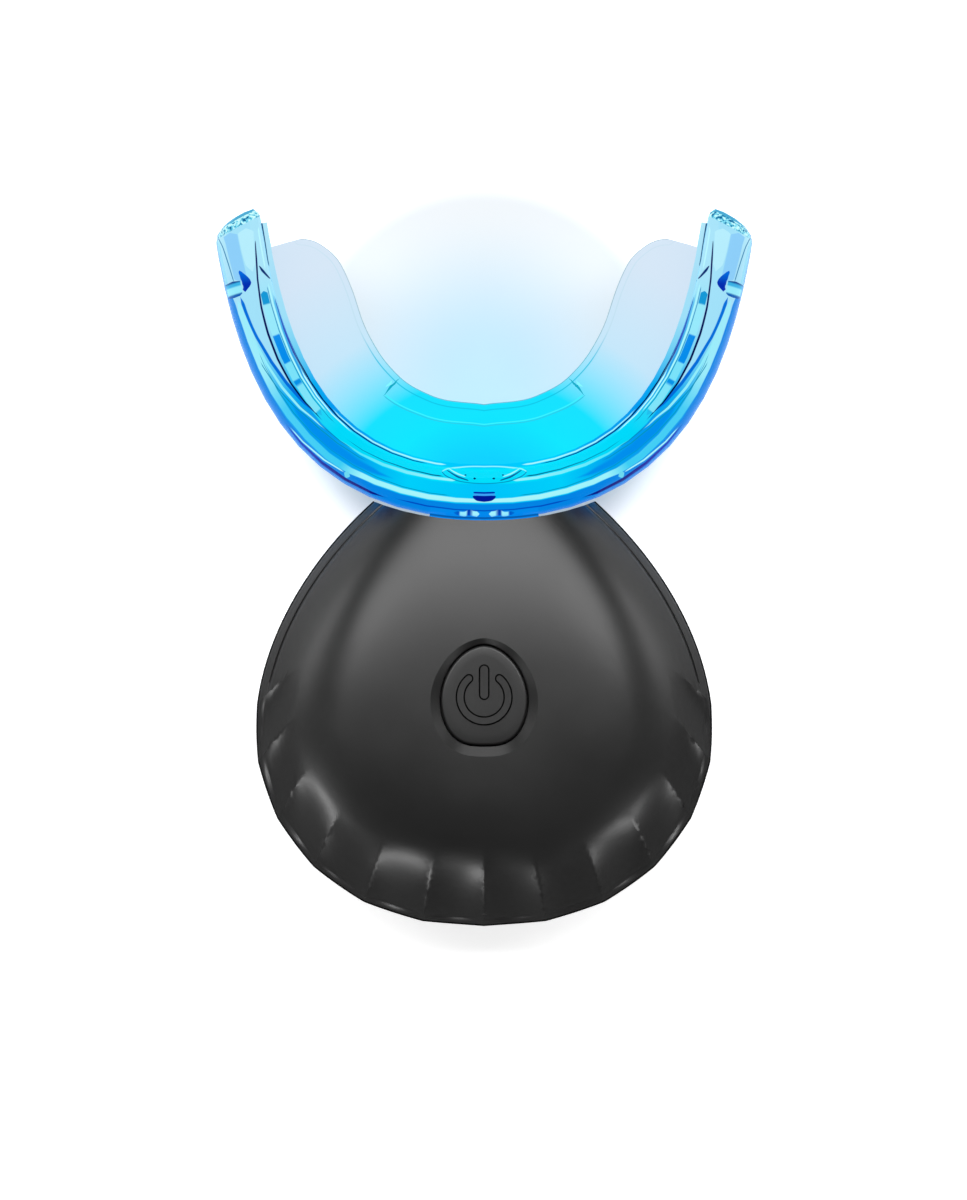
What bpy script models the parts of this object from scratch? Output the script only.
"""LED teeth whitening device: a scallop-shaped handset with a clear light arch and a soft bite plate.

The device lies on its back. X runs across it, Y from the handset's round tail to the open ends of
the arch, and Z up to the power button. The origin is under the middle of the device.
"""
import math

import bmesh
import bpy
import numpy as np
from mathutils import Matrix

MM = 0.001

# Clearances
SEAT_GAP = 0.1 * MM        # between flat faces that rest on each other
SLIDE_GAP = 0.15 * MM      # round a piece that slides or plugs in
FIT_GAP = 0.3 * MM         # between curved or cut faces
OVERRUN = 1.5 * MM         # how far a cutter runs past the wall that it cuts

# Handset outline, a teardrop whose nose would lie inside the arch
HANDSET_HALF_WIDTH = 27.3 * MM
HANDSET_WIDE_Y = -19.1 * MM
HANDSET_NOSE = 35.2 * MM
HANDSET_TAIL = 23.4 * MM
HANDSET_NOSE_POWERS = (1.886, 1.325)
HANDSET_TAIL_POWERS = (1.973, 2.293)
NECK_Y = 8.3 * MM          # where the sides stop bending and run on straight
SEAM_Z = 11.5 * MM

# Handset surface: the upper shell is a dome that starts behind a lip round its edge
LIP_WIDTH = 1.4 * MM
LIP_HEIGHT = 1.3 * MM
LIP_SHARES = ((0, 0), (0.14, 0.58), (0.64, 0.77), (1, 1))
DOME_RISE = 12.0 * MM
DOME_POWER = 4.0           # a higher power makes the dome flatter on top and steeper round its side
DOME_FALL_SHARE = 0.22     # how much lower it stands beside the arch than at its widest
DOME_FALL_POWER = 2.5
UPPER_BRIM = 11.0 * MM
LOWER_BRIM = 11.5 * MM
LOWER_PROFILE_SHARES = ((0, 0), (0.02, 0.1), (0.09, 0.16), (0.2, 0.35), (0.33, 0.55), (0.5, 0.77),
                        (0.68, 0.92), (0.85, 0.985), (1, 1))

# Pleats of the scallop, as a fan of hollow facets between ridges round the tail
FAN_Y = -1.3 * MM
PLEATS_PER_SIDE = 6
PLEAT_ANGLE = math.radians(10.25)
PLEAT_STEP = 0.15 * MM      # how far the outline draws in between two ridges
PLEAT_DEPTH = 0.9 * MM
PLEAT_LENGTH_MIDDLE = 10.5 * MM
PLEAT_LENGTH_SIDE = 4.5 * MM
PLEAT_SWEEP = math.radians(4.0)    # how far the last ridges lean towards the neck
PLEAT_RAMP = 1.2 * MM       # in from the edge, where the facets reach their full depth
PLEAT_COLUMN_SHARES = (0, 0.12, 0.36, 0.64, 0.88)    # slices across each pleat

UPPER_INSET_SHARES = (0, 0.018, 0.082, 0.127, 0.2, 0.3, 0.41, 0.535, 0.68, 0.835, 1)
LOWER_INSET_SHARES = (0, 0.02, 0.09, 0.2, 0.33, 0.5, 0.68, 0.85, 1.04)
SCALE_SHARES = (0.8, 0.6, 0.4, 0.2)

# Handset walls
HOLLOW_INSET_SHARES = (0, 0.3, 0.65, 1)
HOLLOW_SCALE_SHARES = (0.66, 0.33)
RIM_WALL = 2.8 * MM
SHELL_WALL = 1.8 * MM
FRONT_WALL = 1.8 * MM
SEAL_INSET = 1.15 * MM
SEAL_WIDTH = 0.5 * MM
SEAL_HEIGHT = 1.0 * MM
SEAL_HALF_ANGLE = math.radians(118)

# Light arch
ARCH_FRONT_Y = 6.1 * MM
ARCH_HALF_WIDTH = 32.2 * MM
ARCH_DEPTH = 34.2 * MM
ARCH_POWER = 2.209
ARCH_OPEN_SHARE = 0.9224   # how near the sides come to running straight back
ARCH_WALL = 5.7 * MM
ARCH_HALF_HEIGHT_FRONT = 10.0 * MM
ARCH_HALF_HEIGHT_TIP = 7.4 * MM
TIP_RADIUS = 2.3 * MM
TIP_SLANT_SHARE = 0.42
TIP_SLANT_ZONE = 9.0 * MM
COVER_SKIN = 1.2 * MM
COVER_ROOF = 1.4 * MM
COVER_END = 1.5 * MM
COVER_SECTION_SHARES = ((0, 0), (0.02, 0.32), (0.09, 0.6), (0.2, 0.82), (0.34, 0.95), (0.5, 1),
                        (0.82, 1), (0.95, 0.95), (1, 0.86))
HOLLOW_SECTION_SHARES = ((0, 0), (0.02, 0.3), (0.1, 0.6), (0.25, 0.86), (0.42, 1))
PANEL_THICKNESS = 0.8 * MM
RAIL_DEPTH = 0.7 * MM
RAIL_THICKNESS = 0.8 * MM
TIP_RIB_FROM_END = 7.0 * MM
TIP_RIB_THICKNESS = 0.8 * MM
TIP_RIB_HALF_HEIGHT = 4.4 * MM
TIP_POST_RADIUS = 0.7 * MM
FRONT_POST_HALF_WIDTH = 1.45 * MM
FRONT_POST_DEPTH = 1.5 * MM
FRONT_POST_INSET = 1.9 * MM
FRONT_POST_DROP = 3.0 * MM

# Light strip
LED_COLUMNS = 14
LED_PITCH = 6.2 * MM
LED_LENGTH = 3.8 * MM
LED_HEIGHT = 2.8 * MM
LED_THICKNESS = 0.8 * MM
LED_ROW_OFFSET = 3.6 * MM
STRIP_THICKNESS = 0.3 * MM
STRIP_HALF_HEIGHT = 5.6 * MM
STRIP_TURN_LENGTH = 10.0 * MM    # of each end, which bends in to the inner wall
STRIP_TURN_IN = 0.95 * MM
STRIP_TURN_POWER = 1.6

# Bite plate, whose inner edge is given in shares of the arch's half width and depth
PLATE_THICKNESS = 2.4 * MM
PLATE_END_Y = 38.3 * MM
PLATE_EDGE_ROUND = 0.5 * MM
PLATE_CORNER_ANGLE = math.radians(60)    # turns sharper than this are rounded
PLATE_OUTER_POINTS = 41
PLATE_INNER_POINTS = 31
PLATE_INNER_SHARES = ((0, 0.397), (0.2, 0.43), (0.32, 0.5), (0.4, 0.595), (0.45, 0.69), (0.485, 0.79),
                      (0.53, 0.885), (0.59, 0.945), (0.68, 0.974))

# Neck of the arch, which both shells trap
NECK_HALF_WIDTH = 6.5 * MM
NECK_HALF_HEIGHT = 3.5 * MM
FLANGE_LIP = 1.2 * MM
FLANGE_THICKNESS = 1.2 * MM
NECK_SEAL_THICKNESS = 0.7 * MM
CHANNEL_HALF_WIDTH = 4.6 * MM
CHANNEL_HALF_HEIGHT = 1.6 * MM

# Power button, a small teardrop in a bevelled well
BUTTON_WIDE_Y = -15.4 * MM
BUTTON_HALF_WIDTH = 6.4 * MM
BUTTON_NOSE = 7.7 * MM
BUTTON_TAIL = 6.7 * MM
BUTTON_NOSE_POWERS = (1.85, 1.85)
BUTTON_TAIL_POWERS = (2.0, 2.7)
WELL_BEVEL = 1.1 * MM
WELL_DEPTH = 0.75 * MM
CAP_GAP = 0.2 * MM
CAP_SINK = 0.55 * MM
CAP_EDGE = 0.3 * MM
CAP_FLANGE_LIP = 1.2 * MM
CAP_FLANGE_HEIGHT = 0.8 * MM
COLLAR_HEIGHT = 1.8 * MM
COLLAR_WALL = 2.2 * MM
GASKET_THICKNESS = 0.5 * MM
STEM_RADIUS = 1.6 * MM
BUTTON_TRAVEL = 0.4 * MM

# Circuit board and what it carries
BOARD_HALF_WIDTH = 18.5 * MM
BOARD_FRONT_Y = -3.0 * MM
BOARD_BACK_Y = -29.0 * MM
BOARD_THICKNESS = 1.2 * MM
BOARD_TOP_Z = 11.7 * MM
BOARD_CORNER = 3.0 * MM
SWITCH_WIDTH = 6.0 * MM
SWITCH_HEIGHT = 3.5 * MM
SWITCH_Y = -15.4 * MM
PLUNGER_RADIUS = 1.7 * MM
PLUNGER_HEIGHT = 1.8 * MM
PLUNGER_SUNK = 0.9 * MM
SOCKET_WIDTH = 10.0 * MM
SOCKET_LENGTH = 4.0 * MM
SOCKET_HEIGHT = 1.8 * MM
SOCKET_MOUTH = 2.5 * MM
RIBBON_WIDTH = 8.0 * MM
RIBBON_THICKNESS = 0.3 * MM
RIBBON_LIFT = 0.75 * MM
CONTROL_CHIP = 5.0 * MM
CONTROL_CHIP_HEIGHT = 0.9 * MM
CONTROL_CHIP_PLACE = (9.0 * MM, -22.5 * MM)
CHARGER_CHIP = 3.0 * MM
CHARGER_CHIP_HEIGHT = 0.8 * MM
CHARGER_CHIP_PLACE = (10.5 * MM, -12.5 * MM)
BUZZER_RADIUS = 4.5 * MM
BUZZER_HEIGHT = 3.0 * MM
BUZZER_HOLE_RADIUS = 0.8 * MM
BUZZER_PLACE = (-10.0 * MM, -22.5 * MM)

# Board screws and their bosses
SCREW_X = 15.0 * MM
SCREW_Y = -11.0 * MM
SCREW_RADIUS = 0.9 * MM
SCREW_LENGTH = 5.0 * MM
SCREW_HEAD_RADIUS = 1.8 * MM
SCREW_HEAD_HEIGHT = 1.1 * MM
SCREW_DRIVE_RADIUS = 0.8 * MM
SCREW_DRIVE_DEPTH = 0.6 * MM
BOSS_RADIUS = 2.4 * MM

# Battery
BATTERY_HALF_WIDTH = 10.0 * MM
BATTERY_FRONT_Y = -3.0 * MM
BATTERY_BACK_Y = -23.0 * MM
BATTERY_HEIGHT = 5.8 * MM
BATTERY_ROUND = 1.0 * MM
BATTERY_TERRACE = 2.0 * MM
BATTERY_TERRACE_HEIGHT = 2.2 * MM
PAD_THICKNESS = 0.8 * MM
PLUG_WIDTH = 5.0 * MM
PLUG_LENGTH = 3.4 * MM
PLUG_HEIGHT = 1.5 * MM
PLUG_FROM_SIDE = 3.0 * MM    # in from the cell's side
PLUG_Y = -8.0 * MM
LEAD_RADIUS = 0.4 * MM
LEAD_SPACING = 1.5 * MM
LEAD_STEPS = 8

# Charging contacts in the underside
CHARGE_Y = -26.0 * MM
CHARGE_PIN_X = 2.6 * MM
CHARGE_PIN_RADIUS = 1.2 * MM
CHARGE_PIN_HEAD_RADIUS = 1.7 * MM
CHARGE_PIN_HEAD_HEIGHT = 0.8 * MM
CHARGE_RECESS_DEPTH = 0.5 * MM
CHARGE_RECESS_HALF_WIDTH = 6.0 * MM
CHARGE_RECESS_HALF_LENGTH = 2.6 * MM
CHARGE_RECESS_CORNER = 2.0 * MM
MAGNET_X = 9.0 * MM
MAGNET_RADIUS = 2.0 * MM
MAGNET_HEIGHT = 1.8 * MM
MAGNET_FLOOR = 0.7 * MM
MAGNET_POCKET_WALL = 0.8 * MM
CHARGE_BOARD_HALF_WIDTH = 5.0 * MM
CHARGE_BOARD_HALF_LENGTH = 2.2 * MM
CHARGE_BOARD_THICKNESS = 0.8 * MM

# Mesh fineness
ARCH_STATIONS = 31
TIP_STEPS = 4              # that round off each tip
HOLLOW_STATIONS = 28       # even, so that cuts don't meet the cover's own edges
BLOCK_STATIONS = 8
SIDE_COLUMNS = 15          # per side, round the outline where it has no pleats
HOLLOW_COLUMNS = 44
ROUND_SIDES = 24
CURVE_SAMPLES = 600        # points at which an outline's length and turn are read
SMALL_SIDES = 16
SMOOTH_ANGLE = math.radians(32)


def clear_scene():
    """Remove everything that the file starts with."""
    for thing in list(bpy.data.objects):
        bpy.data.objects.remove(thing, do_unlink=True)
    for group in list(bpy.data.collections):
        bpy.data.collections.remove(group)


def make_collection(name):
    """Add a collection to the scene."""
    group = bpy.data.collections.new(name)
    bpy.context.scene.collection.children.link(group)
    return group


def make_material(name, colour, roughness, metallic=0.0, alpha=1.0):
    """Make one Principled material."""
    material = bpy.data.materials.new(name)
    material.use_nodes = True
    shader = material.node_tree.nodes["Principled BSDF"]
    shader.inputs["Base Color"].default_value = (*colour, 1.0)
    shader.inputs["Roughness"].default_value = roughness
    shader.inputs["Metallic"].default_value = metallic
    shader.inputs["Alpha"].default_value = alpha
    material.diffuse_color = (*colour, alpha)
    return material


def add_object(name, shape, group, material=None, smooth=False):
    """Turn a bmesh into a named object, with its faces pointing out."""
    bmesh.ops.recalc_face_normals(shape, faces=shape.faces)
    mesh = bpy.data.meshes.new(name)
    shape.to_mesh(mesh)
    shape.free()
    if smooth:
        mesh.shade_smooth()
        mesh.set_sharp_from_angle(angle=SMOOTH_ANGLE)
    piece = bpy.data.objects.new(name, mesh)
    group.objects.link(piece)
    if material:
        mesh.materials.append(material)
    return piece


def combine(piece, tool, operation):
    """Cut a piece with a tool, or join the tool to it."""
    modifier = piece.modifiers.new(f"{operation.lower()} {tool.name}", "BOOLEAN")
    modifier.operation = operation
    modifier.solver = "EXACT"
    modifier.object = tool
    tool.hide_render = True
    tool.display_type = "WIRE"


def cut(piece, *tools):
    """Take each tool's shape out of a piece."""
    for tool in tools:
        combine(piece, tool, "DIFFERENCE")


def join(piece, *tools):
    """Make each tool's shape part of a piece."""
    for tool in tools:
        combine(piece, tool, "UNION")


def loft(rings):
    """Skin a stack of rings, and close its ends with a fan from a point or a flat face."""
    shape = bmesh.new()
    rows = [[shape.verts.new(point) for point in ring] for ring in rings]
    for low, high in zip(rows, rows[1:]):
        count = max(len(low), len(high))
        for i in range(count):
            j = (i + 1) % count
            corners = [low[0]] if len(low) == 1 else [low[i], low[j]]
            corners += [high[0]] if len(high) == 1 else [high[j], high[i]]
            shape.faces.new(corners)
    for row in (rows[0], rows[-1]):
        if len(row) > 1:
            shape.faces.new(row)
    return shape


def box(low, high):
    """A box between two corners."""
    shape = bmesh.new()
    size = [b - a for a, b in zip(low, high)]
    middle = [(a + b) / 2 for a, b in zip(low, high)]
    matrix = Matrix.Translation(middle) @ Matrix.Diagonal((*size, 1))
    bmesh.ops.create_cube(shape, size=1, matrix=matrix)
    return shape


def cylinder(x, y, z_low, z_high, radius, sides=SMALL_SIDES):
    """An upright cylinder."""
    shape = bmesh.new()
    matrix = Matrix.Translation((x, y, (z_low + z_high) / 2))
    bmesh.ops.create_cone(shape, cap_ends=True, segments=sides, radius1=radius, radius2=radius,
                          depth=z_high - z_low, matrix=matrix)
    return shape


def round_upright_edges(shape, radius, segments=3):
    """Round a box's four upright edges."""
    upright = [edge for edge in shape.edges if abs(edge.verts[0].co.z - edge.verts[1].co.z) > radius / 2]
    bmesh.ops.bevel(shape, geom=upright, offset=radius, segments=segments, profile=0.5, affect="EDGES")
    return shape


def smooth_table(shares, places):
    """Read a smooth curve through a table of shares."""
    knots, values = np.array(shares, dtype=float).T
    slopes = np.gradient(values, knots)
    slopes[-1] = 0
    places = np.clip(places, knots[0], knots[-1])
    index = np.clip(np.searchsorted(knots, places) - 1, 0, len(knots) - 2)
    width = knots[index + 1] - knots[index]
    t = (places - knots[index]) / width
    start = (1 + 2 * t) * (1 - t) ** 2 * values[index] + t * (1 - t) ** 2 * width * slopes[index]
    return start + t ** 2 * (3 - 2 * t) * values[index + 1] + t ** 2 * (t - 1) * width * slopes[index + 1]


class Teardrop:
    """A rounded outline about a centre, read by angle and by the distance in from its edge."""

    def __init__(self, half_width, wide_y, nose, tail, nose_powers, tail_powers, centre_y, neck_y=None):
        steps = np.sin(np.linspace(0, math.pi / 2, CURVE_SAMPLES))
        nose_x = half_width * (1 - steps ** nose_powers[0]) ** (1 / nose_powers[1])
        tail_x = half_width * (1 - steps ** tail_powers[0]) ** (1 / tail_powers[1])
        side_x = np.concatenate([tail_x[::-1], nose_x[1:]])
        side_y = wide_y + np.concatenate([-tail * steps[::-1], nose * steps[1:]])
        if neck_y is not None:
            kept = side_y < neck_y
            side_x, side_y = side_x[kept], side_y[kept]
            slope = (side_x[-1] - side_x[-2]) / (side_y[-1] - side_y[-2])
            straight_y = np.linspace(side_y[-1], side_y[-1] - side_x[-1] / slope, CURVE_SAMPLES)[1:]
            side_x = np.append(side_x, side_x[-1] + slope * (straight_y - side_y[-1]))
            side_y = np.append(side_y, straight_y)
        self.centre_y = centre_y
        self.edge = np.column_stack([side_x, side_y])
        self.angles = np.arctan2(np.abs(side_x), centre_y - side_y)
        self.reach = np.hypot(side_x, side_y - centre_y)
        self.stretch = np.hypot(1, np.gradient(self.reach, self.angles) / self.reach)
        self.wide_y = wide_y
        self.wide_angles = np.arctan2(np.abs(side_x), wide_y - side_y)
        self.wide_reach = np.hypot(side_x, side_y - wide_y)

    def point(self, angle, inset=0.0, scale=1.0):
        """The outline's point at an angle from -Y, moved in, and then drawn towards the centre."""
        turn = abs((angle + math.pi) % (2 * math.pi) - math.pi)
        reach = np.interp(turn, self.angles, self.reach)
        reach = (reach - inset * np.interp(turn, self.angles, self.stretch)) * scale
        return reach * math.sin(angle), self.centre_y - reach * math.cos(angle)

    def depth(self, x, y):
        """How far a point lies in from the outline."""
        point = np.array([abs(x), y])
        start, run = self.edge[:-1], np.diff(self.edge, axis=0)
        along = np.clip(((point - start) * run).sum(axis=1) / (run ** 2).sum(axis=1), 0, 1)
        return np.linalg.norm(start + along[:, None] * run - point, axis=1).min()

    def spread(self, x, y):
        """How far out a point lies, from 0 along the middle of the nose to 1 on the outline."""
        if y > self.wide_y:
            half_width = np.interp(y, self.edge[:, 1], self.edge[:, 0])
            return min(1.0, abs(x) / max(half_width, SEAT_GAP))
        turn = math.atan2(abs(x), self.wide_y - y)
        reach = np.interp(turn, self.wide_angles, self.wide_reach)
        return min(1.0, math.hypot(x, y - self.wide_y) / reach)

    def ring(self, angles, z, inset=0.0, scale=1.0):
        """One level ring of the outline."""
        return [(*self.point(angle, inset, scale), z) for angle in angles]


HANDSET = Teardrop(HANDSET_HALF_WIDTH, HANDSET_WIDE_Y, HANDSET_NOSE, HANDSET_TAIL,
                   HANDSET_NOSE_POWERS, HANDSET_TAIL_POWERS, FAN_Y, NECK_Y)
BUTTON = Teardrop(BUTTON_HALF_WIDTH, BUTTON_WIDE_Y, BUTTON_NOSE, BUTTON_TAIL,
                  BUTTON_NOSE_POWERS, BUTTON_TAIL_POWERS, BUTTON_WIDE_Y)


def even_angles(count):
    """Angles all the way round, from -Y."""
    return [2 * math.pi * i / count for i in range(count)]


def handset_angles():
    """Columns round the handset: one on each ridge, and a few across each facet."""
    side = [(pleat + share) * PLEAT_ANGLE for pleat in range(PLEATS_PER_SIDE)
            for share in PLEAT_COLUMN_SHARES]
    fan = PLEATS_PER_SIDE * PLEAT_ANGLE
    side += [fan + (math.pi - fan) * i / SIDE_COLUMNS for i in range(SIDE_COLUMNS + 1)]
    return side + [-angle for angle in reversed(side[1:-1])]


def pleat_share(angle, depth):
    """How hollow a facet is at an angle and a depth, from 0 on its ridges to 1 along its middle."""
    fan = PLEATS_PER_SIDE * PLEAT_ANGLE
    turn = abs(angle)
    if turn >= fan:
        return 0.0
    across = (turn / PLEAT_ANGLE) % 1
    length = PLEAT_LENGTH_MIDDLE + (PLEAT_LENGTH_SIDE - PLEAT_LENGTH_MIDDLE) * turn / fan
    return (1 - (2 * across - 1) ** 2) * max(0.0, 1 - (depth / length) ** 2) ** 2


def swept(angle, inset):
    """Where a column has moved to at a distance in from the outline, as the outer ridges lean."""
    out = min(1.0, abs(angle) / (PLEATS_PER_SIDE * PLEAT_ANGLE))
    if abs(angle) > math.pi - PLEAT_ANGLE:
        return angle
    lean = PLEAT_SWEEP * out ** 2 * min(1.0, inset / PLEAT_LENGTH_SIDE)
    return angle + math.copysign(lean, angle)


def upper_rise(x, y):
    """The upper shell's height over the seam, before its pleats."""
    insets, heights = np.array(LIP_SHARES).T
    lip = LIP_HEIGHT * np.interp(HANDSET.depth(x, y) / LIP_WIDTH, insets, heights)
    forward = max(0.0, (y - HANDSET_WIDE_Y) / (ARCH_FRONT_Y - HANDSET_WIDE_Y))
    dome = DOME_RISE * (1 - DOME_FALL_SHARE * forward ** DOME_FALL_POWER)
    return lip + dome * (1 - HANDSET.spread(x, y) ** DOME_POWER)


def lower_drop(x, y):
    """The lower shell's depth under the seam, before its pleats."""
    return SEAM_Z * smooth_table(LOWER_PROFILE_SHARES, HANDSET.depth(x, y) / LOWER_BRIM)


def shell_rings(height, side, brim, insets, scales, pleat_depth):
    """Rings of a shell's outside, from the middle of its seam face round to its middle."""
    start = SEAM_Z + side * SEAT_GAP / 2
    angles = handset_angles()
    rings = [[(0, FAN_Y, start)]]
    for inset, scale in [(share * brim, 1) for share in insets] + [(brim, scale) for scale in scales]:
        ring = []
        for angle in angles:
            x, y = HANDSET.point(swept(angle, inset), inset, scale)
            sunk = pleat_share(angle, inset) if scale == 1 else 0
            inward = PLEAT_STEP * sunk
            downward = pleat_depth * sunk * min(1, inset / PLEAT_RAMP)
            rise = float(height(x, y)) - SEAT_GAP / 2 - downward if inset else 0
            x -= inward * math.sin(angle)
            y += inward * math.cos(angle)
            ring.append((x, y, start + side * rise))
        rings.append(ring)
    rings.append([(0, FAN_Y, start + side * (float(height(0, FAN_Y)) - SEAT_GAP / 2))])
    return rings


def hollow_rings(height, side, brim, wall):
    """Rings of a shell's hollow, from past the seam to its middle."""
    angles = even_angles(HOLLOW_COLUMNS)
    mouth = SEAM_Z - side * OVERRUN
    rings = [[(0, FAN_Y, mouth)], HANDSET.ring(angles, mouth, RIM_WALL)]
    steps = [(share * (brim - RIM_WALL) + RIM_WALL, 1) for share in HOLLOW_INSET_SHARES]
    for inset, scale in steps + [(brim, scale) for scale in HOLLOW_SCALE_SHARES]:
        places = [HANDSET.point(angle, inset, scale) for angle in angles]
        rings.append([(x, y, SEAM_Z + side * (float(height(x, y)) - wall)) for x, y in places])
    rings.append([(0, FAN_Y, SEAM_Z + side * (float(height(0, FAN_Y)) - wall))])
    return rings


class Arch:
    """The plan curve of the arch's outer face, read by the distance along it from the front."""

    def __init__(self):
        reach = ARCH_HALF_WIDTH * (1 + (1 - ARCH_OPEN_SHARE) / 2)
        x = reach * np.sin(np.linspace(-math.pi / 2, math.pi / 2, 2 * CURVE_SAMPLES + 1))
        share = np.abs(x) / ARCH_HALF_WIDTH * ARCH_OPEN_SHARE
        rise = np.log(1 - share ** ARCH_POWER) / math.log(1 - ARCH_OPEN_SHARE ** ARCH_POWER)
        y = ARCH_FRONT_Y + ARCH_DEPTH * rise
        along = np.concatenate([[0], np.cumsum(np.hypot(np.diff(x), np.diff(y)))])
        self.x, self.y = x, y
        self.along = along - np.interp(0, x, along)
        turn = np.arctan2(np.gradient(y), np.gradient(x))
        self.turn = turn
        self.end = float(np.interp(ARCH_HALF_WIDTH, x, self.along))

    def place(self, along, inward):
        """The plan point at a distance along the curve and in from the outer face."""
        turn = np.interp(along, self.along, self.turn)
        x = np.interp(along, self.along, self.x) - inward * math.sin(turn)
        y = np.interp(along, self.along, self.y) + inward * math.cos(turn)
        return float(x), float(y)

    def slanted(self, along, inward):
        """The same, with the ends cut on a slant."""
        near_end = max(0.0, 1 - (self.end - abs(along)) / TIP_SLANT_ZONE)
        return self.place(along + math.copysign(TIP_SLANT_SHARE * inward * near_end ** 2, along), inward)

    def half_height(self, along):
        """The wall's half height, which falls towards the tips."""
        share = min(1.0, (along / self.end) ** 2)
        return ARCH_HALF_HEIGHT_FRONT + (ARCH_HALF_HEIGHT_TIP - ARCH_HALF_HEIGHT_FRONT) * share


ARCH = Arch()
LED_FACE = ARCH_WALL - PANEL_THICKNESS - SEAT_GAP          # the chips' front, just outside the panel
STRIP_BACK = LED_FACE - LED_THICKNESS - 2 * SEAT_GAP - STRIP_THICKNESS


def turned_in(along):
    """How far the light strip has bent in from its straight run, at a distance along the arch."""
    past = max(0.0, abs(along) - (ARCH.end - COVER_END - STRIP_TURN_LENGTH)) / STRIP_TURN_LENGTH
    return STRIP_TURN_IN * past ** STRIP_TURN_POWER


def arch_loft(section, start, end, stations=ARCH_STATIONS, rounding=0.0, shift=None):
    """Run a section along the arch. A rounded run draws in towards its ends."""
    places = [start + (end - start) * i / (stations - 1) for i in range(stations)]
    if rounding:
        bends = [rounding * (1 - math.sin(math.pi / 2 * i / TIP_STEPS)) for i in range(TIP_STEPS + 1)]
        pitch = (end - start) / (stations - 1)
        middle = [place for place in places if abs(place) < end - rounding - pitch / 4]
        places = [-end + bend for bend in reversed(bends)] + middle + [end - bend for bend in bends]
    rings = []
    for along in places:
        bend = max(0.0, rounding - (end - abs(along)))
        drawn = rounding - math.sqrt(max(0.0, rounding ** 2 - bend ** 2)) if rounding else 0
        height = ARCH.half_height(along)
        ring = []
        for inward, z in section(height):
            inward += shift(along) if shift else 0
            inward = ARCH_WALL / 2 + (inward - ARCH_WALL / 2) * (1 - 2 * drawn / ARCH_WALL)
            ring.append((*ARCH.slanted(along, inward), SEAM_Z + z * (1 - drawn / height)))
        rings.append(ring)
    return loft(rings)


def block_section(inner, outer, half_height):
    """A rectangle between two distances in from the outer face."""
    return lambda height: [(outer, -half_height), (inner, -half_height), (inner, half_height),
                           (outer, half_height)]


def mirrored_section(half):
    """A section whose upper half is listed from its middle up."""
    return half[::-1] + [(inward, -z) for inward, z in half if z > 0]


def cover_section(height):
    """The clear cover's outside."""
    return mirrored_section([(a * ARCH_WALL, b * height) for a, b in COVER_SECTION_SHARES])


def hollow_section(height):
    """The cover's hollow, which is open on the inner side."""
    half = [(COVER_SKIN + a * ARCH_WALL, b * (height - COVER_ROOF)) for a, b in HOLLOW_SECTION_SHARES]
    return mirrored_section(half + [(ARCH_WALL + OVERRUN, height - COVER_ROOF)])


def panel_section(height):
    """The inner wall: a thin panel with two rails that grip the bite plate."""
    top = height - COVER_ROOF - SEAT_GAP
    face = ARCH_WALL
    slot = PLATE_THICKNESS / 2 + SEAT_GAP
    rail = slot + RAIL_THICKNESS
    lip = face + RAIL_DEPTH
    half = [(face, slot), (lip, slot), (lip, rail), (face, rail), (face, top), (face - PANEL_THICKNESS, top)]
    return mirrored_section(half)


def front_block(gap):
    """All that lies inside the arch's outer face, let out by a gap, as an upright block."""
    reach = ARCH.end
    steps = [reach * (2 * i / ARCH_STATIONS - 1) for i in range(ARCH_STATIONS + 1)]
    plan = [ARCH.place(along, -gap) for along in steps]
    low, high = -OVERRUN, SEAM_Z + LIP_HEIGHT + DOME_RISE + OVERRUN
    return loft([[(x, y, z) for x, y in plan] for z in (low, high)])


def turned(x, y, profile, sides=SMALL_SIDES):
    """Spin a profile of (radius, z) points about an upright axis. It starts and ends on the axis."""
    shape = bmesh.new()
    line = [shape.verts.new((x + radius, y, z)) for radius, z in profile]
    edges = [shape.edges.new(pair) for pair in zip(line, line[1:])]
    bmesh.ops.spin(shape, geom=line + edges, cent=(x, y, 0), axis=(0, 0, 1), angle=2 * math.pi,
                   steps=sides, use_merge=True)
    bmesh.ops.remove_doubles(shape, verts=shape.verts, dist=SEAT_GAP / 10)
    return shape


def button_ring(inset, z):
    """One level ring of the button's outline."""
    return BUTTON.ring(even_angles(2 * ROUND_SIDES), z, inset)


# Heights that follow from the sizes
WELL_TOP_Z = SEAM_Z + float(upper_rise(BUTTON_HALF_WIDTH, BUTTON_WIDE_Y))
COLLAR_Z = WELL_TOP_Z - WELL_DEPTH - COLLAR_HEIGHT
CAP_TOP_Z = WELL_TOP_Z - CAP_SINK
CAP_INSET = WELL_BEVEL + CAP_GAP
GASKET_Z = COLLAR_Z - SEAT_GAP - GASKET_THICKNESS
CAP_FLANGE_Z = GASKET_Z - SEAT_GAP - CAP_FLANGE_HEIGHT
FLOOR_Z = SHELL_WALL
BOARD_Z = BOARD_TOP_Z - BOARD_THICKNESS
PART_Z = BOARD_TOP_Z + SEAT_GAP                    # where the parts on the board start
SWITCH_TOP_Z = PART_Z + SWITCH_HEIGHT
PLUNGER_TOP_Z = SWITCH_TOP_Z - PLUNGER_SUNK + PLUNGER_HEIGHT
PAD_Z = FLOOR_Z + SEAT_GAP
BATTERY_Z = PAD_Z + PAD_THICKNESS + SEAT_GAP
PLUG_Z = BOARD_Z - SEAT_GAP - PLUG_HEIGHT
WALL_BACK = FIT_GAP + FRONT_WALL                   # from the arch's face to the front wall's back
FLANGE_FRONT = WALL_BACK + NECK_SEAL_THICKNESS + 2 * SEAT_GAP


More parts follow.
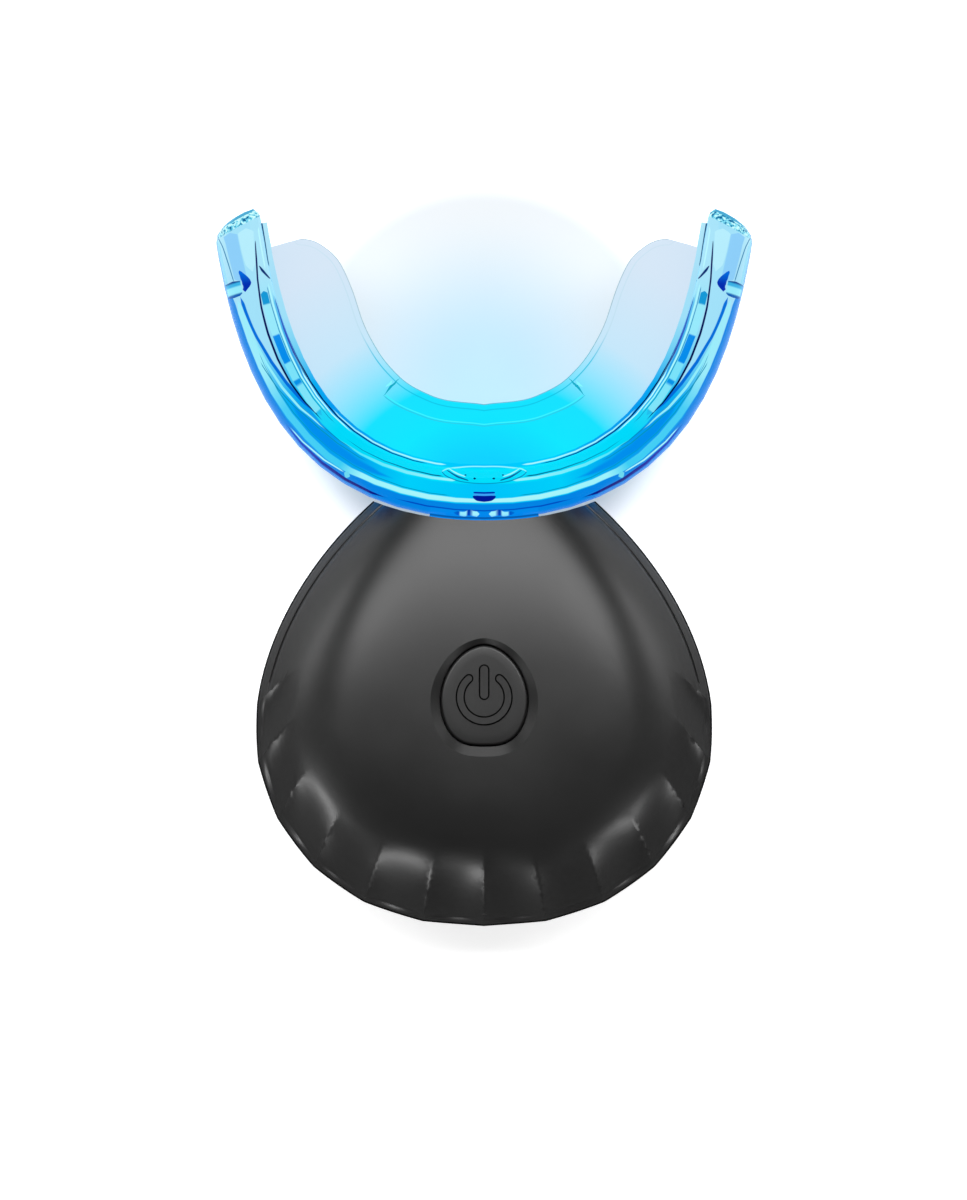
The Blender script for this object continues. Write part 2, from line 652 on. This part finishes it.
def make_upper_shell(parts, tools, material):
    """The shell with the button well. Its pleats, well and neck window are what show."""
    rings = shell_rings(upper_rise, 1, UPPER_BRIM, UPPER_INSET_SHARES, SCALE_SHARES, PLEAT_DEPTH)
    shell = add_object("upper_shell", loft(rings), parts, material, smooth=True)
    rings = hollow_rings(upper_rise, 1, UPPER_BRIM, SHELL_WALL)
    hollow = add_object("upper hollow", loft(rings), tools)
    cut(hollow, add_object("upper hollow front", front_block(WALL_BACK), tools))
    well_floor = WELL_TOP_Z - WELL_DEPTH
    outside = WELL_BEVEL - COLLAR_WALL
    collar = add_object("button collar", loft([button_ring(outside, COLLAR_Z),
                                               button_ring(outside, well_floor)]), tools)
    well = loft([button_ring(WELL_BEVEL, COLLAR_Z - OVERRUN),
                 button_ring(WELL_BEVEL, well_floor),
                 button_ring(-WELL_BEVEL, WELL_TOP_Z + WELL_DEPTH)])
    front = add_object("upper front", front_block(FIT_GAP), tools)
    cut(shell, hollow, front)
    join(shell, collar)
    cut(shell, add_object("button well", well, tools),
        make_seal_ring("upper seal groove", tools, SEAT_GAP),
        make_neck_window("upper neck window", tools))


def make_lower_shell(parts, tools, material):
    """The back shell, with its screw bosses, magnet pockets and contact recess."""
    rings = shell_rings(lower_drop, -1, LOWER_BRIM, LOWER_INSET_SHARES, (), PLEAT_DEPTH)
    shell = add_object("lower_shell", loft(rings), parts, material, smooth=True)
    rings = hollow_rings(lower_drop, -1, LOWER_BRIM, SHELL_WALL)
    hollow = add_object("lower hollow", loft(rings), tools)
    cut(hollow, add_object("lower hollow front", front_block(WALL_BACK), tools))
    cut(shell, hollow, add_object("lower front", front_block(FIT_GAP), tools))
    half_floor = FLOOR_Z / 2
    for side in (-1, 1):
        boss = cylinder(side * SCREW_X, SCREW_Y, half_floor, BOARD_Z - SEAT_GAP, BOSS_RADIUS)
        pilot = cylinder(side * SCREW_X, SCREW_Y, BOARD_Z - SCREW_LENGTH, BOARD_Z + OVERRUN,
                         SCREW_RADIUS + SEAT_GAP)
        rim = cylinder(side * MAGNET_X, CHARGE_Y, half_floor, MAGNET_FLOOR + SEAT_GAP + MAGNET_HEIGHT,
                       MAGNET_RADIUS + SLIDE_GAP + MAGNET_POCKET_WALL, ROUND_SIDES)
        pocket = cylinder(side * MAGNET_X, CHARGE_Y, MAGNET_FLOOR, FLOOR_Z + MAGNET_HEIGHT + OVERRUN,
                          MAGNET_RADIUS + SLIDE_GAP, ROUND_SIDES)
        pin_hole = cylinder(side * CHARGE_PIN_X, CHARGE_Y, -OVERRUN, FLOOR_Z + OVERRUN,
                            CHARGE_PIN_RADIUS + SEAT_GAP)
        join(shell, add_object(f"boss {side}", boss, tools),
             add_object(f"pocket rim {side}", rim, tools))
        cut(shell, add_object(f"pilot {side}", pilot, tools),
            add_object(f"pocket {side}", pocket, tools),
            add_object(f"pin hole {side}", pin_hole, tools))
    recess = box((-CHARGE_RECESS_HALF_WIDTH, CHARGE_Y - CHARGE_RECESS_HALF_LENGTH, -OVERRUN),
                 (CHARGE_RECESS_HALF_WIDTH, CHARGE_Y + CHARGE_RECESS_HALF_LENGTH, CHARGE_RECESS_DEPTH))
    round_upright_edges(recess, CHARGE_RECESS_CORNER)
    cut(shell, add_object("contact recess", recess, tools),
        make_seal_ring("lower seal groove", tools, SEAT_GAP),
        make_neck_window("lower neck window", tools))


def make_seal_ring(name, group, gap, material=None):
    """The band in the seam, or the groove round it, from one side of the neck to the other."""
    rings = []
    for angle in np.linspace(-SEAL_HALF_ANGLE, SEAL_HALF_ANGLE, HOLLOW_COLUMNS):
        near, far = SEAL_INSET - gap, SEAL_INSET + SEAL_WIDTH + gap
        top = SEAL_HEIGHT / 2 + gap
        rings.append([(*HANDSET.point(float(angle), inset), SEAM_Z + z)
                      for inset, z in ((near, -top), (far, -top), (far, top), (near, top))])
    return add_object(name, loft(rings), group, material)


def make_neck_window(name, tools):
    """The hole in the front wall that the arch's neck passes through."""
    reach = NECK_HALF_WIDTH + SLIDE_GAP
    section = block_section(OVERRUN, -WALL_BACK - OVERRUN, NECK_HALF_HEIGHT + SLIDE_GAP)
    return add_object(name, arch_loft(section, -reach, reach, BLOCK_STATIONS), tools)


def neck_block(near, far, reach, half_height):
    """A block that runs forward from the arch's outer face, between two distances from it."""
    return arch_loft(block_section(-near, -far, half_height), -reach, reach, BLOCK_STATIONS)


def make_tip_rib(side, tools):
    """The rib across the arch near one tip, and the post that closes it."""
    along = side * (ARCH.end - TIP_RIB_FROM_END)
    half = TIP_RIB_THICKNESS / 2
    inner = STRIP_BACK - FIT_GAP - TIP_POST_RADIUS
    rib = arch_loft(block_section(inner, COVER_SKIN / 2, TIP_RIB_HALF_HEIGHT),
                    along - half, along + half, 2)
    x, y = ARCH.slanted(along, inner)
    top = ARCH.half_height(along) - COVER_ROOF / 2
    post = cylinder(x, y, SEAM_Z - top, SEAM_Z + top, TIP_POST_RADIUS)
    return [add_object(f"tip rib {side}", rib, tools), add_object(f"tip post {side}", post, tools)]


def make_arch_cover(parts, tools, material):
    """The clear cover, with its ribs and posts, and the neck that the shells trap."""
    cover = arch_loft(cover_section, -ARCH.end, ARCH.end, rounding=TIP_RADIUS)
    cover = add_object("arch_cover", cover, parts, material, smooth=True)
    inner_end = ARCH.end - COVER_END
    hollow = arch_loft(hollow_section, -inner_end, inner_end, HOLLOW_STATIONS)
    cut(cover, add_object("arch hollow", hollow, tools))
    for side in (-1, 1):
        join(cover, *make_tip_rib(side, tools))
    flange_back = FLANGE_FRONT + FLANGE_THICKNESS
    neck = neck_block(-COVER_SKIN / 2, flange_back - FLANGE_THICKNESS / 2, NECK_HALF_WIDTH,
                      NECK_HALF_HEIGHT)
    flange = neck_block(FLANGE_FRONT, flange_back, NECK_HALF_WIDTH + FLANGE_LIP,
                        NECK_HALF_HEIGHT + FLANGE_LIP)
    channel = neck_block(-COVER_SKIN - OVERRUN, flange_back + OVERRUN, CHANNEL_HALF_WIDTH,
                         CHANNEL_HALF_HEIGHT)
    join(cover, make_front_post(tools), add_object("neck", neck, tools),
         add_object("flange", flange, tools))
    cut(cover, add_object("ribbon channel", channel, tools))


def make_arch_inside(parts, tools, materials):
    """The arch's inner wall, the light strip behind it and the seal round the neck."""
    reach = ARCH.end - COVER_END - SLIDE_GAP
    wall = arch_loft(panel_section, -reach, reach)
    add_object("arch_inner_wall", wall, parts, materials["clear"], smooth=True)
    reach -= SLIDE_GAP
    strip = arch_loft(block_section(STRIP_BACK + STRIP_THICKNESS, STRIP_BACK, STRIP_HALF_HEIGHT),
                      -reach, reach, shift=turned_in)
    add_object("led_flex_strip", strip, parts, materials["strip"])
    outer = neck_block(WALL_BACK + SEAT_GAP, FLANGE_FRONT - SEAT_GAP, NECK_HALF_WIDTH + FLANGE_LIP,
                       NECK_HALF_HEIGHT + FLANGE_LIP)
    hole = neck_block(WALL_BACK, FLANGE_FRONT, NECK_HALF_WIDTH + SLIDE_GAP,
                      NECK_HALF_HEIGHT + SLIDE_GAP)
    cut(add_object("neck_seal", outer, parts, materials["seal"]),
        add_object("neck seal hole", hole, tools))


def make_front_post(tools):
    """The D-shaped locating post that hangs from the cover's roof at the middle of the arch."""
    top = SEAM_Z + ARCH_HALF_HEIGHT_FRONT - COVER_ROOF / 2
    y = ARCH_FRONT_Y + FRONT_POST_INSET
    bow = [(FRONT_POST_HALF_WIDTH * math.cos(a), y + FRONT_POST_DEPTH * (1 - math.sin(a)))
           for a in np.linspace(0, math.pi, SMALL_SIDES // 2 + 1)]
    levels = (top - FRONT_POST_DROP, top)
    return add_object("front post", loft([[(x, y, z) for x, y in bow] for z in levels]), tools)


def make_leds(parts, material):
    """Two rows of light chips on the strip, facing in."""
    for row, side in (("upper", 1), ("lower", -1)):
        for column in range(LED_COLUMNS):
            along = (column - (LED_COLUMNS - 1) / 2) * LED_PITCH
            x, y = ARCH.place(along, LED_FACE - LED_THICKNESS / 2)
            size = (LED_LENGTH, LED_THICKNESS, LED_HEIGHT)
            chip = box([-a / 2 for a in size], [a / 2 for a in size])
            led = add_object(f"led_{row}_{column + 1:02d}", chip, parts, material)
            led.location = (x, y, SEAM_Z + side * LED_ROW_OFFSET)
            led.rotation_euler.z = float(np.interp(along, ARCH.along, ARCH.turn))


def make_bite_plate(parts, material):
    """The soft plate that the teeth close on, with its outer edge in the inner wall's rails."""
    near = ARCH_WALL + SLIDE_GAP
    stops = np.linspace(0, ARCH.end, CURVE_SAMPLES)
    reach = float(np.interp(PLATE_END_Y, [ARCH.place(stop, near)[1] for stop in stops], stops))
    outer = [ARCH.place(reach * share, near) for share in np.linspace(-1, 1, PLATE_OUTER_POINTS)]
    last = PLATE_INNER_SHARES[-1][0]
    across = last * np.sin(np.linspace(math.pi / 2, -math.pi / 2, PLATE_INNER_POINTS))
    inner = [(share * ARCH_HALF_WIDTH,
              ARCH_FRONT_Y + ARCH_DEPTH * float(smooth_table(PLATE_INNER_SHARES, abs(share))))
             for share in across]
    plan = outer + inner
    half = PLATE_THICKNESS / 2
    shape = loft([[(x, y, z) for x, y in plan] for z in (SEAM_Z - half, SEAM_Z + half)])
    plate = add_object("bite_plate", shape, parts, material, smooth=True)
    bevel = plate.modifiers.new("soft edges", "BEVEL")
    bevel.width = PLATE_EDGE_ROUND
    bevel.segments = 2
    bevel.limit_method = "ANGLE"
    bevel.angle_limit = PLATE_CORNER_ANGLE


def make_button(parts, tools, materials):
    """The cap with its flange and stem, and the gasket that it stops against."""
    lip = CAP_INSET - CAP_FLANGE_LIP
    rings = [button_ring(lip, CAP_FLANGE_Z), button_ring(lip, CAP_FLANGE_Z + CAP_FLANGE_HEIGHT),
             button_ring(CAP_INSET, CAP_FLANGE_Z + CAP_FLANGE_HEIGHT),
             button_ring(CAP_INSET, CAP_TOP_Z - CAP_EDGE), button_ring(CAP_INSET + CAP_EDGE, CAP_TOP_Z)]
    cap = add_object("button_cap", loft(rings), parts, materials["cap"], smooth=True)
    stem = cylinder(0, SWITCH_Y, PLUNGER_TOP_Z + SEAT_GAP, CAP_FLANGE_Z + CAP_FLANGE_HEIGHT / 2,
                    STEM_RADIUS)
    join(cap, add_object("button stem", stem, tools))
    gasket = loft([button_ring(lip, GASKET_Z), button_ring(lip, GASKET_Z + GASKET_THICKNESS)])
    gasket = add_object("button_gasket", gasket, parts, materials["seal"])
    hole = loft([button_ring(WELL_BEVEL, GASKET_Z - OVERRUN),
                 button_ring(WELL_BEVEL, GASKET_Z + OVERRUN)])
    cut(gasket, add_object("gasket hole", hole, tools))
    half = SWITCH_WIDTH / 2
    switch = box((-half, SWITCH_Y - half, PART_Z), (half, SWITCH_Y + half, SWITCH_TOP_Z))
    switch = add_object("tact_switch", switch, parts, materials["switch"])
    sunk = PLUNGER_SUNK + BUTTON_TRAVEL + SEAT_GAP
    recess = cylinder(0, SWITCH_Y, SWITCH_TOP_Z - sunk, SWITCH_TOP_Z + OVERRUN,
                      PLUNGER_RADIUS + SLIDE_GAP)
    cut(switch, add_object("switch recess", recess, tools))
    plunger = cylinder(0, SWITCH_Y, SWITCH_TOP_Z - PLUNGER_SUNK, PLUNGER_TOP_Z, PLUNGER_RADIUS)
    add_object("switch_plunger", plunger, parts, materials["plunger"], smooth=True)


def make_board(parts, tools, materials):
    """The circuit board with its chips, and the screws that hold it."""
    board = box((-BOARD_HALF_WIDTH, BOARD_BACK_Y, BOARD_Z),
                (BOARD_HALF_WIDTH, BOARD_FRONT_Y, BOARD_TOP_Z))
    round_upright_edges(board, BOARD_CORNER)
    board = add_object("main_board", board, parts, materials["board"])
    for side, name in ((-1, "left"), (1, "right")):
        hole = cylinder(side * SCREW_X, SCREW_Y, BOARD_Z - OVERRUN, BOARD_TOP_Z + OVERRUN,
                        SCREW_RADIUS + SLIDE_GAP)
        cut(board, add_object(f"screw hole {side}", hole, tools))
        make_screw(f"board_screw_{name}", side * SCREW_X, parts, materials["steel"])
    chips = (("control_chip", CONTROL_CHIP, CONTROL_CHIP_HEIGHT, CONTROL_CHIP_PLACE),
             ("charger_chip", CHARGER_CHIP, CHARGER_CHIP_HEIGHT, CHARGER_CHIP_PLACE))
    for name, width, height, (x, y) in chips:
        chip = box((x - width / 2, y - width / 2, PART_Z),
                   (x + width / 2, y + width / 2, PART_Z + height))
        add_object(name, chip, parts, materials["chip"])


def make_screw(name, x, parts, material):
    """A board screw with a plain driving recess."""
    head = PART_Z + SCREW_HEAD_HEIGHT
    tip = PART_Z - SCREW_LENGTH
    drive = head - SCREW_DRIVE_DEPTH
    profile = [(0, tip), (SCREW_RADIUS, tip), (SCREW_RADIUS, PART_Z), (SCREW_HEAD_RADIUS, PART_Z),
               (SCREW_HEAD_RADIUS, head), (SCREW_DRIVE_RADIUS, head), (SCREW_DRIVE_RADIUS, drive),
               (0, drive)]
    add_object(name, turned(x, SCREW_Y, profile), parts, material, smooth=True)


def make_buzzer(parts, material):
    """The sounder on the board, with its sound hole."""
    x, y = BUZZER_PLACE
    top = PART_Z + BUZZER_HEIGHT
    profile = [(0, PART_Z), (BUZZER_RADIUS, PART_Z), (BUZZER_RADIUS, top), (BUZZER_HOLE_RADIUS, top),
               (BUZZER_HOLE_RADIUS, top - BUZZER_HEIGHT / 2), (0, top - BUZZER_HEIGHT / 2)]
    add_object("buzzer", turned(x, y, profile, ROUND_SIDES), parts, material, smooth=True)


def make_ribbon(parts, tools, materials):
    """The ribbon socket at the board's front, and the ribbon from it to the light strip."""
    front = BOARD_FRONT_Y - SLIDE_GAP
    low = SEAM_Z + RIBBON_LIFT
    high = low + RIBBON_THICKNESS
    half = SOCKET_WIDTH / 2
    socket = box((-half, front - SOCKET_LENGTH, PART_Z), (half, front, PART_Z + SOCKET_HEIGHT))
    socket = add_object("ribbon_socket", socket, parts, materials["socket"])
    half = RIBBON_WIDTH / 2
    mouth = box((-half - SLIDE_GAP, front - SOCKET_MOUTH, low - SEAT_GAP),
                (half + SLIDE_GAP, front + OVERRUN, high + SEAT_GAP))
    cut(socket, add_object("socket mouth", mouth, tools))
    ribbon = box((-half, front - SOCKET_MOUTH + SEAT_GAP, low),
                 (half, ARCH_FRONT_Y + STRIP_BACK - SEAT_GAP, high))
    add_object("led_ribbon", ribbon, parts, materials["strip"])


def make_battery(parts, tools, materials):
    """The pouch cell on its foam pad."""
    half = BATTERY_HALF_WIDTH
    pad = box((-half, BATTERY_BACK_Y, PAD_Z), (half, BATTERY_FRONT_Y, PAD_Z + PAD_THICKNESS))
    add_object("battery_pad", pad, parts, materials["foam"])
    body_front = BATTERY_FRONT_Y - BATTERY_TERRACE
    cell = box((-half, BATTERY_BACK_Y, BATTERY_Z), (half, body_front, BATTERY_Z + BATTERY_HEIGHT))
    edges = [edge for edge in cell.edges
             if abs(edge.verts[0].co.y - edge.verts[1].co.y) > BATTERY_ROUND]
    bmesh.ops.bevel(cell, geom=edges, offset=BATTERY_ROUND, segments=3, profile=0.5, affect="EDGES")
    cell = add_object("battery_cell", cell, parts, materials["battery"], smooth=True)
    terrace = box((-half + BATTERY_ROUND, body_front - OVERRUN, BATTERY_Z + SEAT_GAP),
                  (half - BATTERY_ROUND, BATTERY_FRONT_Y, BATTERY_Z + BATTERY_TERRACE_HEIGHT))
    join(cell, add_object("battery terrace", terrace, tools))


def make_battery_plug(parts, materials):
    """The plug under the board, over one corner of the cell, and its two leads."""
    x = BATTERY_HALF_WIDTH - PLUG_FROM_SIDE
    half_width, half_length = PLUG_WIDTH / 2, PLUG_LENGTH / 2
    plug = box((x - half_width, PLUG_Y - half_length, PLUG_Z),
               (x + half_width, PLUG_Y + half_length, PLUG_Z + PLUG_HEIGHT))
    add_object("battery_plug", plug, parts, materials["socket"])
    start = (PLUG_Y + half_length + SEAT_GAP, PLUG_Z + PLUG_HEIGHT / 2)
    end = (BATTERY_FRONT_Y - BATTERY_TERRACE / 2, BATTERY_Z + BATTERY_TERRACE_HEIGHT + SEAT_GAP)
    for side, name in ((-1, "red"), (1, "black")):
        add_lead(f"battery_lead_{name}", x + side * LEAD_SPACING / 2, start, end, parts,
                 materials[name])


def add_lead(name, x, start, end, parts, material):
    """A wire that leaves the plug forwards and bends down to the cell."""
    curve = bpy.data.curves.new(name, "CURVE")
    curve.dimensions = "3D"
    curve.bevel_depth = LEAD_RADIUS
    curve.bevel_resolution = 2
    curve.use_fill_caps = True
    spline = curve.splines.new("POLY")
    corner = (end[0], start[1])
    steps = [i / LEAD_STEPS for i in range(LEAD_STEPS + 1)]
    spline.points.add(len(steps) - 1)
    for point, t in zip(spline.points, steps):
        y, z = (a * (1 - t) ** 2 + 2 * b * t * (1 - t) + c * t ** 2
                for a, b, c in zip(start, corner, end))
        point.co = (x, y, z, 1)
    curve.materials.append(material)
    parts.objects.link(bpy.data.objects.new(name, curve))


def make_charge_contacts(parts, materials):
    """The contact pins, their board and the magnets that hold the charging lead."""
    low = CHARGE_RECESS_DEPTH / 2
    head = FLOOR_Z + SEAT_GAP
    head_top = head + CHARGE_PIN_HEAD_HEIGHT
    for side, name in ((-1, "left"), (1, "right")):
        profile = [(0, low), (CHARGE_PIN_RADIUS, low), (CHARGE_PIN_RADIUS, head),
                   (CHARGE_PIN_HEAD_RADIUS, head), (CHARGE_PIN_HEAD_RADIUS, head_top), (0, head_top)]
        add_object(f"charge_pin_{name}", turned(side * CHARGE_PIN_X, CHARGE_Y, profile), parts,
                   materials["contact"], smooth=True)
        low_magnet = MAGNET_FLOOR + SEAT_GAP
        magnet = cylinder(side * MAGNET_X, CHARGE_Y, low_magnet, low_magnet + MAGNET_HEIGHT,
                          MAGNET_RADIUS, ROUND_SIDES)
        add_object(f"charge_magnet_{name}", magnet, parts, materials["steel"], smooth=True)
    low = head_top + SEAT_GAP
    board = box((-CHARGE_BOARD_HALF_WIDTH, CHARGE_Y - CHARGE_BOARD_HALF_LENGTH, low),
                (CHARGE_BOARD_HALF_WIDTH, CHARGE_Y + CHARGE_BOARD_HALF_LENGTH,
                 low + CHARGE_BOARD_THICKNESS))
    add_object("charge_board", board, parts, materials["board"])


def make_materials():
    """The colours and finishes."""
    return {
        "shell": make_material("satin black shell", (0.035, 0.035, 0.038), 0.42),
        "cap": make_material("satin black cap", (0.03, 0.03, 0.032), 0.4),
        "clear": make_material("clear blue plastic", (0.1, 0.62, 0.95), 0.08, alpha=0.4),
        "plate": make_material("milky silicone", (0.75, 0.88, 0.96), 0.45),
        "seal": make_material("black silicone", (0.02, 0.02, 0.02), 0.7),
        "strip": make_material("white flex circuit", (0.85, 0.88, 0.9), 0.4),
        "led": make_material("lit light chip", (0.35, 0.75, 1.0), 0.3),
        "switch": make_material("black switch body", (0.03, 0.03, 0.03), 0.5),
        "plunger": make_material("switch plunger", (0.6, 0.6, 0.58), 0.4),
        "board": make_material("green circuit board", (0.02, 0.18, 0.07), 0.35),
        "chip": make_material("chip resin", (0.02, 0.02, 0.02), 0.45),
        "socket": make_material("cream socket", (0.8, 0.76, 0.62), 0.4),
        "steel": make_material("plated steel", (0.62, 0.62, 0.62), 0.28, 1.0),
        "contact": make_material("gold plated contact", (0.83, 0.62, 0.28), 0.25, 1.0),
        "battery": make_material("pouch foil", (0.6, 0.62, 0.64), 0.35, 0.8),
        "foam": make_material("black foam", (0.03, 0.03, 0.03), 0.9),
        "red": make_material("red lead", (0.6, 0.02, 0.02), 0.4),
        "black": make_material("black lead", (0.02, 0.02, 0.02), 0.4),
    }


def main():
    """Build every piece."""
    clear_scene()
    parts = make_collection("led_teeth_whitening_device")
    tools = make_collection("cutters")
    materials = make_materials()
    make_upper_shell(parts, tools, materials["shell"])
    make_lower_shell(parts, tools, materials["shell"])
    make_seal_ring("shell_seal", parts, 0, materials["seal"])
    make_arch_cover(parts, tools, materials["clear"])
    make_arch_inside(parts, tools, materials)
    make_leds(parts, materials["led"])
    make_bite_plate(parts, materials["plate"])
    make_button(parts, tools, materials)
    make_board(parts, tools, materials)
    make_buzzer(parts, materials["chip"])
    make_ribbon(parts, tools, materials)
    make_battery(parts, tools, materials)
    make_battery_plug(parts, materials)
    make_charge_contacts(parts, materials)


main()
